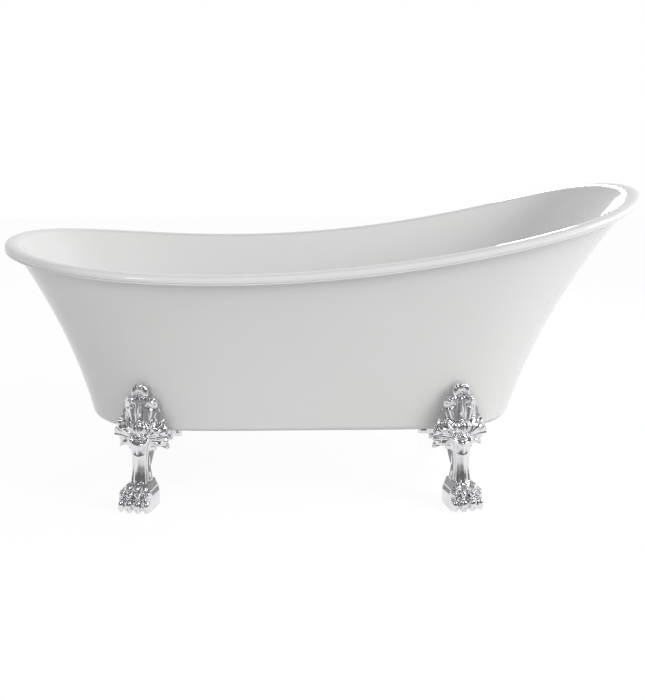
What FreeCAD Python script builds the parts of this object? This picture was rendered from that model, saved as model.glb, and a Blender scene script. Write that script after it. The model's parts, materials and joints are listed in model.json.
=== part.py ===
import FreeCAD, Part
import math
import os
from collections import namedtuple

# Double-walled slipper bath on four cast claw feet, millimetres, +Z up.
# Origin: on the floor under the middle of the rim. +X points to the high end, -Y is the near side.

# Rim seen from above: two halves of one outline, squarer at the high end
rim_length = 1700.0
rim_width = 800.0
low_end_power = 5.4
high_end_power = 7.0

# Rim seen from the side: a parabola through its lowest point and the high end
rim_high = 788.0
rim_lowest = 602.0
rim_lowest_x = -265.0

# Section of the rolled rim
roll_width = 44.0
roll_height = 12.0
roll_meet_angle = 70.0
lip_drop = 19.0
flange_thickness = 4.0

# Skirt (outer shell) and basin (inner shell): where each one stands on its floor
base_height = 178.0
base_low_x = -623.0
base_high_x = 507.0
base_half_width = 255.0
base_corner_radius = 20.0
skirt_rim_inset = 27.0
basin_low_x = -530.0
basin_high_x = 410.0
basin_half_width = 190.0
basin_corner_radius = 80.0
wall_bow = 0.43
corner_lean = 22.0

# Thicknesses and clearances
skirt_wall = 4.0
basin_wall = 4.0
skirt_glass = 2.0
basin_glass = 2.5
board_thickness = 20.0
board_inset = 35.0
film = 0.3
thread_gap = 0.05
loose_gap = 0.3
glass_top = 0.94

# Claw feet
foot_x_low = -466.0
foot_x_high = 346.0
foot_splay = 13.0
foot_crest_top = 314.0
crest_standoff = 29.0
crest_gap = 2.3
bumper_height = 272.0
bumper_radius = 8.0
paw_width = 84.0
paw_back = 34.0
paw_front = 30.0
paw_side_height = 37.0
paw_knuckle_height = 51.0
paw_height = 64.0
paw_lift = 1.0
toe_count = 4
toe_radius = 11.5
knuckle_radius = 10.0
leg_setback = 18.0
leg_width = 42.0
leg_depth = 56.0
casting_wall = 9.0
shelf_width = 74.0
shelf_reach = 130.0
shelf_thickness = 10.0
gasket_start = 66.0
shelf_gasket = 2.0
rib_thickness = 8.0
rib_bottom = 100.0
wing_span = 146.0
fan_thickness = 12.0
wing_sweep = 26.0

# Fasteners of the feet
stud_radius = 5.0
stud_hole_radius = 5.5
stud_spacing = 44.0
stud_setback = 113.0
stud_length = 36.0
washer_radius = 10.0
washer_thickness = 2.0
nut_flats = 17.0
nut_height = 8.0
plate_length = 96.0
plate_width = 44.0
plate_thickness = 4.0

# Levelling feet
leveller_pad_radius = 19.0
leveller_pad_height = 7.0
leveller_stud_radius = 5.0
leveller_stud_top = 48.0
leveller_end_radius = 7.0
leveller_end_height = 4.0
leveller_hex_flats = 14.0
leveller_hex_height = 5.0

# Waste outlet
drain_x = -415.0
drain_bore_radius = 20.5
drain_body_radius = 23.5
drain_body_length = 42.0
drain_flange_radius = 36.5
drain_flange_thickness = 3.0
drain_gasket_thickness = 2.0
drain_hole_radius = 25.0
drain_washer_thickness = 3.0
crossbar_drop = 20.0
crossbar_height = 6.0
crossbar_width = 5.0
hub_radius = 8.0
post_radius = 3.5
sleeve_radius = 8.0
sleeve_bore_radius = 6.5
cap_radius = 27.0
cap_height = 6.0
seal_height = 2.0
stopper_lift = 10.0
spring_radius = 5.1
spring_wire_radius = 0.6
spring_turns = 5
sleeve_gap = 2.0
post_overlap = 4.0
waste_flange_radius = 37.0
waste_flange_thickness = 5.0
waste_barrel_radius = 28.0
waste_barrel_bottom = 138.0
waste_hole_radius = 42.0
waste_stop_height = 8.0
neck_radius = 22.5
neck_length = 12.0
tail_radius = 19.05
tail_wall = 1.5
tail_step = 0.2
tail_bottom = 100.0
tail_nut_flats = 54.0
tail_nut_height = 16.0
tail_nut_lip = 3.0
tail_washer_height = 5.0

# Overflow
overflow_height = 520.0
overflow_hole_radius = 25.0
face_plate_radius = 36.0
face_plate_thickness = 3.0
overflow_body_radius = 30.0
overflow_body_depth = 20.0
overflow_gasket_thickness = 3.0
overflow_screw_spacing = 30.0
overflow_screw_radius = 2.5
hose_radius = 15.0
hose_bore_radius = 12.0
hose_bend_radius = 50.0
hose_height = 158.0
hose_turn_x = -548.0
hose_slot_low_x = -597.0
hose_slot_high_x = -530.0
hose_slot_width = 46.0
spigot_bore_radius = 9.0
spigot_length = 24.0
clamp_width = 9.0
clamp_thickness = 1.4

ring_points = 48
wall_steps = 7
corner_angles = (0, 25, 50, 75)
roll_angles = (42, 14, -14, -42, -68, -90)

skirt_glass_height = base_height + skirt_wall + film
board_height = skirt_glass_height + skirt_glass + film
glass_height = board_height + board_thickness + film
shell_height = glass_height + basin_glass + film
floor_height = shell_height + basin_wall
half_length = rim_length / 2
half_width = rim_width / 2
roll_half = roll_width / 2
lip_drop_outer = lip_drop + film

Wall = namedtuple("Wall", "low_x high_x half_width height rim_inset rim_drop corner_share")


def vec(x, y, z):
    return FreeCAD.Vector(x, y, z)


def save(shape, name):
    shape.exportStep("parts/" + name + ".step")
    print(name, len(shape.Solids), "solids", round(shape.Volume / 1000.0, 2), "cm3", shape.isValid())


# ---- Outlines shared by every shell of the tub

def rim_height(x):
    share = (x - rim_lowest_x) / (half_length - rim_lowest_x)
    return rim_lowest + (rim_high - rim_lowest) * share ** 2


def end_power(cosine):
    return low_end_power if cosine < 0 else high_end_power


def outline_point(angle, low_x, high_x, reach_y):
    cosine = math.cos(angle)
    side = math.sqrt(max(0.0, 1.0 - abs(cosine) ** end_power(cosine)))
    x = (low_x + high_x) / 2 + (high_x - low_x) / 2 * cosine
    return x, math.copysign(reach_y * side, math.sin(angle))


def closed_curve(point_at):
    points = [point_at(2 * math.pi * i / ring_points) for i in range(ring_points)]
    curve = Part.BSplineCurve()
    curve.interpolate(points, PeriodicFlag=True)
    return Part.Wire(curve.toShape())


def rim_ring(inset, drop):
    def point_at(angle):
        x, y = outline_point(angle, inset - half_length, half_length - inset, half_width - inset)
        return vec(x, y, rim_height(x) - drop)
    return closed_curve(point_at)


def bowed(up):
    return (1 - wall_bow) * up + wall_bow * up ** 2


def wall_ring(wall, up, inset=0.0):
    share = bowed(up)

    def point_at(angle):
        x0, y0 = outline_point(angle, wall.low_x + inset, wall.high_x - inset, wall.half_width - inset)
        rim = wall.rim_inset + inset
        x1, y1 = outline_point(angle, rim - half_length, half_length - rim, half_width - rim)
        z = (1 - up) * wall.height + up * (rim_height(x1) - wall.rim_drop)
        return vec((1 - share) * x0 + share * x1, (1 - share) * y0 + share * y1, z)
    return closed_curve(point_at)


def corner_rings(wall, radius):
    lean = math.radians(corner_lean)
    rings = []
    for degrees in corner_angles:
        turn = math.radians(degrees)
        inset = radius * (1 / math.cos(lean) - math.sin(turn) - math.cos(turn) * math.tan(lean))
        rise = radius * (1 - math.cos(turn))
        rings.append(wall_ring(wall, rise / (rim_lowest - wall.height), inset))
    return rings


def corner_share(radius, height):
    """Share of a wall's height that its bottom corner takes up."""
    return radius * (1 - math.cos(math.radians(corner_angles[-1]))) / (rim_lowest - height)


def wall_rings(wall, radius):
    """Bottom corner and wall, up to the top edge of the glass-fibre backing."""
    start = wall.corner_share
    ups = [start + (glass_top - start) * (i + 1) / wall_steps for i in range(wall_steps)]
    return corner_rings(wall, radius) + [wall_ring(wall, up) for up in ups]


def neck_rings(wall):
    return [wall_ring(wall, (1 + glass_top) / 2), wall_ring(wall, 1.0)]


def roll_rings(thickness):
    """Arc of the rolled rim, out to its edge."""
    rings = []
    for degrees in roll_angles:
        turn = math.radians(degrees)
        inset = roll_half + (roll_half - thickness) * math.sin(turn)
        rings.append(rim_ring(inset, roll_height - (roll_height - thickness) * math.cos(turn)))
    return rings


def deeper(wall, depth):
    return wall._replace(low_x=wall.low_x + depth, high_x=wall.high_x - depth,
                         half_width=wall.half_width - depth, height=wall.height + depth,
                         rim_inset=wall.rim_inset + depth)


def skin(rings):
    return Part.makeLoft(rings, False, False).Faces


def band(first, second):
    return Part.makeLoft([first, second], False, True).Faces


def closed_solid(faces):
    sheet = Part.Compound(faces)
    sheet.sewShape()
    solid = Part.Solid(sheet.Shells[0])
    if solid.Volume < 0:
        solid.reverse()
    return solid


def lined_shell(outside, inside):
    caps = [Part.Face(outside[0]), Part.Face(inside[0])]
    return closed_solid(skin(outside) + skin(inside) + bands([outside[-1], inside[-1]]) + caps)


def bands(rings):
    return [face for first, second in zip(rings, rings[1:]) for face in band(first, second)]


def basin_surface():
    meet = math.radians(roll_meet_angle)
    inset = roll_half * (1 + math.sin(meet))
    drop = roll_height * (1 - math.cos(meet))
    share = corner_share(basin_corner_radius, floor_height)
    return Wall(basin_low_x, basin_high_x, basin_half_width, floor_height, inset, drop, share)


def skirt_surface():
    drop = lip_drop_outer + flange_thickness
    share = corner_share(base_corner_radius, base_height)
    return Wall(base_low_x, base_high_x, base_half_width, base_height, skirt_rim_inset, drop, share)


def wall_extents(wall, up):
    """Low end, high end and half width of a wall's outline, part of the way up."""
    share = bowed(up)
    low = (1 - share) * wall.low_x + share * (wall.rim_inset - half_length)
    high = (1 - share) * wall.high_x + share * (half_length - wall.rim_inset)
    return low, high, (1 - share) * wall.half_width + share * (half_width - wall.rim_inset)


def wall_side(wall, x, up):
    """Half width of a wall at one x, part of the way up."""
    low, high, reach_y = wall_extents(wall, up)
    cosine = (2 * x - low - high) / (high - low)
    return reach_y * math.sqrt(max(0.0, 1.0 - abs(cosine) ** end_power(cosine)))


def share_up(wall, x, z):
    return (z - wall.height) / (rim_height(x) - wall.rim_drop - wall.height)


# ---- Plain shapes

def rod(radius, bottom, top, x=0.0, y=0.0):
    return Part.makeCylinder(radius, top - bottom, vec(x, y, bottom))


def tube(outer, inner, bottom, top, x=0.0, y=0.0):
    return rod(outer, bottom, top, x, y).cut(rod(inner, bottom - 1, top + 1, x, y))


def hexagon(flats, bottom, top, x=0.0, y=0.0):
    corner = flats / math.sqrt(3)
    points = [vec(x + corner * math.cos(i * math.pi / 3), y + corner * math.sin(i * math.pi / 3), bottom)
              for i in range(7)]
    return Part.Face(Part.makePolygon(points)).extrude(vec(0, 0, top - bottom))


def block(x0, x1, y0, y1, z0, z1):
    return Part.makeBox(x1 - x0, y1 - y0, z1 - z0, vec(x0, y0, z0))


def slot(x0, x1, width, bottom, top):
    radius = width / 2
    ends = [rod(radius, bottom, top, x0 + radius), rod(radius, bottom, top, x1 - radius)]
    return block(x0 + radius, x1 - radius, -radius, radius, bottom, top).multiFuse(ends)


def ellipsoid(centre, size):
    ball = Part.makeSphere(1.0)
    matrix = FreeCAD.Matrix()
    matrix.scale(size[0], size[1], size[2])
    matrix.move(vec(*centre))
    return ball.transformGeometry(matrix)


def single(shape):
    return shape.removeSplitter().Solids[0]


# ---- The tub

def bottom_openings(bottom, top):
    cuts = [rod(waste_hole_radius, bottom, top, drain_x),
            slot(hose_slot_low_x, hose_slot_high_x, hose_slot_width, bottom, top)]
    for x, y in stud_places():
        cuts.append(rod(stud_hole_radius, bottom, top, x, y))
    return cuts


def make_basin():
    surface = basin_surface()
    back = deeper(surface, -basin_wall)
    walls = wall_rings(surface, basin_corner_radius) + neck_rings(surface)
    back_walls = wall_rings(back, basin_corner_radius + basin_wall)
    roll, lip = roll_rings(0.0), rim_ring(0.0, lip_drop)
    back_top = neck_rings(back) + roll_rings(basin_wall) + [rim_ring(basin_wall, lip_drop)]
    faces = skin(walls) + skin([walls[-1]] + roll) + bands([roll[-1], lip, back_top[-1]])
    faces += skin(back_walls) + bands([back_walls[-1]] + back_top)
    faces += [Part.Face(walls[0]), Part.Face(back_walls[0])]
    drain = rod(drain_hole_radius, shell_height - 1, floor_height + 1, drain_x)
    return closed_solid(faces).cut([drain, overflow_hole()])


def make_basin_glass():
    front = deeper(basin_surface(), -(basin_wall + film))
    back = deeper(front, -basin_glass)
    radius = basin_corner_radius + basin_wall + film
    shell = lined_shell(wall_rings(front, radius), wall_rings(back, radius + basin_glass))
    drain = rod(drain_hole_radius, glass_height - 1, shell_height + 1, drain_x)
    return shell.cut([drain, overflow_hole()])


def make_skirt():
    surface = skirt_surface()
    back = deeper(surface, skirt_wall)
    outer = wall_rings(surface, base_corner_radius) + neck_rings(surface)
    back_walls = wall_rings(back, base_corner_radius - skirt_wall)
    back_top = neck_rings(back)[:1] + [rim_ring(back.rim_inset, lip_drop_outer)]
    low_edge = rim_ring(0.0, surface.rim_drop)
    high_edge = rim_ring(0.0, lip_drop_outer)
    faces = skin(outer) + skin(back_walls) + [Part.Face(outer[0]), Part.Face(back_walls[0])]
    faces += bands([back_walls[-1]] + back_top + [high_edge, low_edge, outer[-1]])
    return closed_solid(faces).cut(bottom_openings(base_height - 1, base_height + skirt_wall + 1))


def make_skirt_glass():
    back = deeper(skirt_surface(), skirt_wall + film)
    front = deeper(back, skirt_glass)
    radius = base_corner_radius - skirt_wall - film
    shell = lined_shell(wall_rings(back, radius), wall_rings(front, radius - skirt_glass))
    return shell.cut(bottom_openings(skirt_glass_height - 1, board_height + 1))


def make_board():
    def point_at(angle):
        x, y = outline_point(angle, base_low_x + board_inset, base_high_x - board_inset,
                             base_half_width - board_inset)
        return vec(x, y, board_height)
    board = Part.Face(closed_curve(point_at)).extrude(vec(0, 0, board_thickness))
    cuts = bottom_openings(board_height - 1, board_height + board_thickness + 1)[:2]
    for place in foot_places():
        cuts.append(placed(stud_plate_blank(film), place))
    return board.cut(cuts)


# ---- Claw feet, each drawn about its own levelling axis with its toes towards -Y

def foot_places():
    """x, y and turn of each foot, in the order near low, near high, far low, far high."""
    skirt = skirt_surface()
    places = []
    for side in (-1, 1):
        for x in (foot_x_low, foot_x_high):
            up = share_up(skirt, x, foot_crest_top)
            y = side * (wall_side(skirt, x, up) + crest_standoff)
            turn = math.copysign(foot_splay, x) * -side
            places.append((x, y, turn if side < 0 else 180.0 + turn))
    return places


def placed(shape, place):
    x, y, turn = place
    spin = FreeCAD.Rotation(vec(0, 0, 1), turn)
    return shape.transformed(FreeCAD.Placement(vec(x, y, 0), spin).toMatrix(), True)


def at_feet(shape):
    return Part.Compound([solid for place in foot_places() for solid in placed(shape, place).Solids])


def stud_places():
    spots = []
    for x, y, turn in foot_places():
        angle = math.radians(turn)
        for across in (-stud_spacing / 2, stud_spacing / 2):
            spots.append((x + across * math.cos(angle) - stud_setback * math.sin(angle),
                          y + across * math.sin(angle) + stud_setback * math.cos(angle)))
    return spots


def paw_section(width, back, front, z):
    return Part.makePolygon([vec(-width / 2, -front, z), vec(width / 2, -front, z), vec(width / 2, back, z),
                             vec(-width / 2, back, z), vec(-width / 2, -front, z)])


def paw():
    """Upright block with a roofed top, and two rows of toes in front of it."""
    leg_back = leg_setback + leg_depth / 2
    sections = [paw_section(paw_width, paw_back, paw_front, paw_lift),
                paw_section(paw_width, paw_back, paw_front, paw_side_height),
                paw_section(0.9 * paw_width, paw_back, paw_front - 6, paw_knuckle_height),
                paw_section(leg_width + 10, leg_back, leg_depth / 2 - leg_setback + 4, paw_height)]
    body = Part.makeLoft(sections, True, True).Solids[0]
    bits = []
    pitch = (paw_width - 2 * toe_radius + 3) / (toe_count - 1)
    for i in range(toe_count):
        x = (i - (toe_count - 1) / 2) * pitch
        bits.append(ellipsoid((x, -paw_front - 2, toe_radius + paw_lift + 1), (toe_radius, 14, toe_radius + 1)))
        bits.append(ellipsoid((x, -paw_front + 4, 0.5 * (paw_side_height + paw_knuckle_height)),
                              (knuckle_radius, 13, knuckle_radius)))
        bits.append(Part.makeCone(5.5, 1.5, 16, vec(x, -paw_front - 9, paw_lift + 15), vec(0, -0.3, -1)))
    sole = block(-paw_width, paw_width, -paw_width, paw_width, paw_lift - 20, paw_lift)
    return body.multiFuse(bits).cut(sole)


def leg_section(width, depth, z):
    """One fluted ring of the leg: a soft square with shallow hollows between its ridges."""
    def point_at(angle):
        flute = 1.0 + 0.035 * math.cos(8 * angle)
        cosine, sine = math.cos(angle), math.sin(angle)
        x = width / 2 * flute * math.copysign(abs(cosine) ** 0.7, cosine)
        y = depth / 2 * flute * math.copysign(abs(sine) ** 0.7, sine)
        return vec(x, leg_setback + y, z)
    return closed_curve(point_at)


def leg():
    top = base_height - shelf_gasket - shelf_thickness
    sections = [leg_section(leg_width + 8, leg_depth + 6, paw_height - 10),
                leg_section(leg_width + 2, leg_depth, paw_height + 14),
                leg_section(leg_width - 2, leg_depth - 8, 0.62 * top),
                leg_section(leg_width + 2, leg_depth - 8, 0.82 * top),
                leg_section(leg_width + 12, leg_depth - 6, top),
                leg_section(leg_width + 22, leg_depth - 6, base_height + 4)]
    return Part.makeLoft(sections, True, False).Solids[0]


def crest_back():
    """Back face of the crest, clear of the tub wall."""
    return crest_standoff - crest_gap


def swept_slab():
    """Slab as thick as the crest plate, whose sides sweep back with the wings."""
    front = crest_back() - fan_thickness
    steps = [wing_span * (i / 8 - 0.5) for i in range(9)]
    points = [vec(x, front + wing_sweep * (2 * x / wing_span) ** 2, 100) for x in steps]
    rear = [point + vec(0, fan_thickness, 0) for point in reversed(points)]
    ends = [Part.LineSegment(points[-1], rear[0]).toShape(), Part.LineSegment(rear[-1], points[0]).toShape()]
    curves = []
    for run in (points, rear):
        curve = Part.BSplineCurve()
        curve.interpolate(run)
        curves.append(curve.toShape())
    outline = Part.Wire([curves[0], ends[0], curves[1], ends[1]])
    return Part.Face(outline).extrude(vec(0, 0, base_height - shelf_gasket - 100))


def fan_plate():
    """Crest plate with its leaf tips, seen from the front; the third number is each arc's bulge."""
    span = wing_span / 2
    half = [(0, 138, 0), (0.36 * span, 140, 0), (0.5 * span, 150, -3), (0.86 * span, 140, 5),
            (0.8 * span, 158, -2), (0.98 * span, 164, 3), (0.97 * span, 178, 3), (0.85 * span, 204, 4),
            (0.7 * span, 226, 3), (0.6 * span, 248, 3), (0.5 * span, 268, 2), (0.3 * span, 262, -2),
            (0.29 * span, 286, 4), (0, foot_crest_top - 2, 0)]
    edges = []
    for side in (1, -1):
        for (x0, z0, bulge), (x1, z1, _) in zip(half, half[1:]):
            start, end = vec(side * x0, 0, z0), vec(side * x1, 0, z1)
            outward = vec(end.z - start.z, 0, start.x - end.x).normalize() * side
            if bulge:
                edges.append(Part.Arc(start, (start + end) * 0.5 + outward * bulge, end).toShape())
            else:
                edges.append(Part.LineSegment(start, end).toShape())
    outline = Part.Wire(Part.__sortEdges__(edges))
    prism = Part.Face(outline).extrude(vec(0, wing_span, 0))
    upright = block(-wing_span, wing_span, crest_back() - fan_thickness, crest_back(),
                    base_height - shelf_gasket, foot_crest_top)
    return prism.common(upright).fuse(prism.common(swept_slab()))


def crest_relief():
    front = crest_back() - fan_thickness
    span = wing_span / 2
    rib = Part.makeCone(11, 4.5, 92, vec(0, front, 200), vec(0, 0.02, 1))
    bits = [rib, ellipsoid((0, front - 8, 196), (15, 12, 22))]
    for side in (-1, 1):
        bits.append(ellipsoid((side * 13, front - 4, 192), (9, 9, 15)))
        bits.append(Part.makeCone(5, 7, 62, vec(side * 15, front + 2, 196), vec(side * 0.22, 0.03, 1)))
        bits.append(Part.makeCone(4, 6, 46, vec(side * 24, front + 3, 196), vec(side * 0.38, 0.03, 1)))
        bits.append(Part.makeCylinder(11, fan_thickness + 4, vec(side * 0.43 * span, front - 4, 262), vec(0, 1, 0)))
        bits.append(ellipsoid((side * 0.62 * span, front + 2, 196), (20, 9, 14)))
        bits.append(ellipsoid((side * 0.55 * span, front + 8, 159), (15, 8, 9)))
        bits.append(ellipsoid((side * 11, front + 2, foot_crest_top - 18), (9, 9, 14)))
        bits.append(Part.makeCylinder(6, 44, vec(0, front - 8, 168), vec(side, 0.35, 0.2)))
    bits.append(ellipsoid((0, front + 2, foot_crest_top - 14), (8, 9, 14)))
    return bits


def shelf():
    top = base_height - shelf_gasket
    return block(-shelf_width / 2, shelf_width / 2, leg_setback, shelf_reach, top - shelf_thickness, top)


def bracket_ribs():
    """Two webs that carry the shelf on the back of the leg."""
    top = base_height - shelf_gasket - shelf_thickness / 2
    back = leg_setback + leg_depth / 2
    webs = []
    for side in (-1, 1):
        x = side * (leg_width / 2 - 6) - rib_thickness / 2
        points = [vec(x, leg_setback, rib_bottom), vec(x, leg_setback, top), vec(x, stud_setback - 16, top),
                  vec(x, back - 6, rib_bottom), vec(x, leg_setback, rib_bottom)]
        webs.append(Part.Face(Part.makePolygon(points)).extrude(vec(rib_thickness, 0, 0)))
    return webs


def foot_cuts():
    """Hollow back, room for the tub wall, and the holes for the leveller and the studs."""
    half_hollow = leg_width / 2 - casting_wall
    hollow_top = base_height - shelf_gasket - shelf_thickness - casting_wall
    hollow = block(-half_hollow, half_hollow, leveller_stud_radius + casting_wall, shelf_reach,
                   paw_knuckle_height, hollow_top)
    wall_room = block(-wing_span, wing_span, crest_back(), 2 * shelf_reach,
                      base_height - shelf_gasket, foot_crest_top + 20)
    pad_room = leveller_pad_height + 0.4
    hex_room = pad_room + leveller_hex_height + 1
    cuts = [hollow, wall_room, rod(leveller_pad_radius + 0.5, -5, pad_room),
            rod(leveller_hex_flats / math.sqrt(3) + 1.5, -5, hex_room),
            rod(leveller_stud_radius + thread_gap, -5, leveller_stud_top + 4)]
    for side in (-1, 1):
        cuts.append(rod(stud_hole_radius, base_height - 40, base_height, side * stud_spacing / 2, stud_setback))
        x0, x1 = sorted((side * (leveller_pad_radius - 4), side * (paw_width / 2 - casting_wall)))
        cuts.append(block(x0, x1, casting_wall - paw_front, paw_back + 1, hex_room,
                          paw_side_height - casting_wall))
    return cuts


def make_foot():
    shape = paw()
    for piece in [leg(), fan_plate(), shelf()] + bracket_ribs():
        shape = shape.fuse(piece)
    shape = shape.cut(foot_cuts())
    for piece in crest_relief():
        shape = shape.fuse(piece)
    return shape.Solids[0]


def shelf_gasket_blank():
    top = base_height
    pad = block(-shelf_width / 2, shelf_width / 2, gasket_start, shelf_reach,
                top - shelf_gasket, top)
    holes = [rod(stud_hole_radius, top - 10, top + 10, side * stud_spacing / 2, stud_setback)
             for side in (-1, 1)]
    return pad.cut(holes)


def stud_plate_blank(extra=0.0):
    bottom = board_height - (1.0 if extra else 0.0)
    return block(-plate_length / 2 - extra, plate_length / 2 + extra,
                 stud_setback - plate_width / 2 - extra, stud_setback + plate_width / 2 + extra,
                 bottom, board_height + plate_thickness + extra)


def foot_fasteners():
    """Studs, washers and nuts of one foot, each a pair."""
    shelf_under = base_height - shelf_gasket - shelf_thickness
    washer_under = shelf_under - washer_thickness
    nut_under = washer_under - nut_height
    bore = stud_radius + thread_gap
    studs, washers, nuts = [], [], []
    for side in (-1, 1):
        x, y = side * stud_spacing / 2, stud_setback
        studs.append(rod(stud_radius, board_height - stud_length, board_height, x, y))
        washers.append(tube(washer_radius, stud_hole_radius, washer_under, shelf_under, x, y))
        nut = hexagon(nut_flats, nut_under, washer_under, x, y)
        nuts.append(nut.cut(rod(bore, nut_under - 1, washer_under + 1, x, y)))
    return Part.Compound(studs), Part.Compound(washers), Part.Compound(nuts)


def leveller():
    seat = leveller_pad_height - leveller_end_height
    pad = rod(leveller_pad_radius, 0, leveller_pad_height)
    pad = pad.cut(rod(leveller_end_radius + loose_gap, seat, leveller_pad_height + 1))
    hex_bottom = leveller_pad_height + loose_gap / 2
    stud = rod(leveller_end_radius, seat + loose_gap, hex_bottom)
    stud = stud.multiFuse([hexagon(leveller_hex_flats, hex_bottom, hex_bottom + leveller_hex_height),
                           rod(leveller_stud_radius, hex_bottom, leveller_stud_top)])
    return pad, single(stud)


def crest_bumper(skirt, place):
    bumper = Part.makeCylinder(bumper_radius, 60, vec(0, crest_back(), bumper_height), vec(0, 1, 0))
    outside = placed(bumper, place).cut(skirt)
    return max(outside.Solids, key=lambda solid: abs(solid.CenterOfMass.y))


# ---- Waste outlet and stopper, on the axis through drain_x

def drain_seat():
    return floor_height + drain_gasket_thickness


def crossbar_top():
    return floor_height - crossbar_drop + crossbar_height


def sleeve_bottom():
    return crossbar_top() + sleeve_gap


def make_drain_flange():
    seat = drain_seat()
    plate = rod(drain_flange_radius, seat, seat + drain_flange_thickness, drain_x)
    rim_edge = [edge for edge in plate.Edges if edge.BoundBox.ZMin > seat + 1 and len(edge.Vertexes) == 1]
    plate = plate.makeChamfer(drain_flange_thickness * 0.6, rim_edge)
    barrel = rod(drain_body_radius, seat - drain_body_length, seat, drain_x)
    body = plate.fuse(barrel)
    body = body.cut(rod(drain_bore_radius, seat - drain_body_length - 1, seat + 9, drain_x))
    bar_low, bar_top = crossbar_top() - crossbar_height, crossbar_top()
    reach = drain_bore_radius + 1
    bars = [block(drain_x - reach, drain_x + reach, -crossbar_width / 2, crossbar_width / 2, bar_low, bar_top),
            block(drain_x - crossbar_width / 2, drain_x + crossbar_width / 2, -reach, reach, bar_low, bar_top),
            rod(hub_radius, bar_low, bar_top, drain_x)]
    body = body.multiFuse(bars)
    return single(body.cut(rod(post_radius, bar_low - 1, bar_top + 1, drain_x)))


def make_stopper():
    seat = drain_seat() + drain_flange_thickness
    seal_low = seat + loose_gap
    cap_low = seal_low + seal_height
    dome = Part.makeSphere(170.0, vec(drain_x, 0, cap_low + cap_height - 170.0))
    cap = rod(cap_radius, cap_low, cap_low + cap_height, drain_x).common(dome)
    seal = tube(drain_bore_radius + 4.5, sleeve_radius + 1, seal_low, cap_low, drain_x)
    sleeve = tube(sleeve_radius, sleeve_bore_radius, sleeve_bottom(), cap_low, drain_x)
    return cap, seal, sleeve, cap_low


def make_post():
    """Post that still guides the sleeve when the stopper is lifted."""
    return rod(post_radius, crossbar_top() - crossbar_height, sleeve_bottom() + stopper_lift + post_overlap, drain_x)


def make_spring(top):
    bottom = crossbar_top() + spring_wire_radius
    height = top - spring_wire_radius - bottom - loose_gap
    helix = Part.makeHelix(height / spring_turns, height, spring_radius)
    wire = Part.Wire([Part.makeCircle(spring_wire_radius, vec(spring_radius, 0, 0), vec(0, 1, 0.1))])
    solid = Part.Wire(helix.Edges).makePipeShell([wire], True, True)
    solid.translate(vec(drain_x, 0, bottom))
    return solid


def make_waste_body():
    bore = drain_body_radius + thread_gap
    top = glass_height - drain_washer_thickness
    shape = rod(waste_flange_radius, top - waste_flange_thickness, top, drain_x)
    shape = shape.multiFuse([rod(waste_barrel_radius, waste_barrel_bottom, top, drain_x),
                             rod(neck_radius, waste_barrel_bottom - neck_length, top, drain_x),
                             Part.makeCylinder(hose_bore_radius - thread_gap,
                                               waste_barrel_radius + spigot_length,
                                               vec(drain_x, 0, hose_height), vec(-1, 0, 0))])
    cuts = [rod(bore, drain_seat() - drain_body_length - 1, top + 1, drain_x),
            rod(drain_bore_radius, waste_barrel_bottom + waste_stop_height, top + 1, drain_x),
            rod(tail_radius - tail_step + thread_gap, 0, top, drain_x),
            Part.makeCylinder(spigot_bore_radius, waste_barrel_radius + spigot_length + 5,
                              vec(drain_x, 0, hose_height), vec(-1, 0, 0))]
    return single(shape.cut(cuts))


def tail_nut_bottom():
    return waste_barrel_bottom - neck_length - tail_washer_height - tail_nut_lip


def make_tail():
    """Tailpiece: the part inside the nut is turned down a little from the free end."""
    free_end = rod(tail_radius, tail_bottom, tail_nut_bottom(), drain_x)
    seated = rod(tail_radius - tail_step, tail_nut_bottom(), waste_barrel_bottom + waste_stop_height, drain_x)
    bore = rod(tail_radius - tail_wall, tail_bottom - 1, waste_barrel_bottom + waste_stop_height + 1, drain_x)
    return free_end.fuse(seated).cut(bore)


def make_tail_nut():
    """Hexagon nut on the neck and the soft washer that it squeezes onto the tailpiece."""
    neck_bottom = waste_barrel_bottom - neck_length
    washer_low = neck_bottom - tail_washer_height
    low = tail_nut_bottom()
    nut = hexagon(tail_nut_flats, low, low + tail_nut_height, drain_x)
    nut = nut.cut([rod(neck_radius + thread_gap, washer_low, low + tail_nut_height + 1, drain_x),
                   rod(tail_radius - tail_step + thread_gap, low - 1, washer_low + 1, drain_x)])
    washer = tube(neck_radius - 0.2, tail_radius - tail_step, washer_low, neck_bottom, drain_x)
    return nut, washer


# ---- Overflow, square to the basin wall at the low end

def overflow_frame():
    """Point on the basin wall and the direction that leaves it, into the basin."""
    wall = basin_surface()
    end_x = wall.rim_inset - half_length
    up = share_up(wall, end_x, overflow_height)
    rise = rim_height(end_x) - wall.rim_drop - wall.height
    lean = math.atan((wall.low_x - end_x) * (1 - wall_bow + 2 * wall_bow * up) / rise)
    return vec(wall_extents(wall, up)[0], 0, overflow_height), vec(math.cos(lean), 0, math.sin(lean))


def along(radius, start, end):
    """Cylinder on the overflow axis between two distances from the wall."""
    point, out = overflow_frame()
    return Part.makeCylinder(radius, end - start, point + out * start, out)


def overflow_hole():
    return along(overflow_hole_radius, -20, 12)


def bowl_rise():
    """Where the face plate's back stands: the curved wall is proud of its middle at the plate's edge."""
    wall = basin_surface()
    up = share_up(wall, wall.rim_inset - half_length, overflow_height)
    low, high, reach_y = wall_extents(wall, up)
    return face_plate_radius ** 2 * (high - low) / 2 / (low_end_power * reach_y ** 2) + loose_gap


def screw_axis_points():
    point = overflow_frame()[0]
    return [vec(point.x, side * overflow_screw_spacing / 2, point.z) for side in (-1, 1)]


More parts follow.
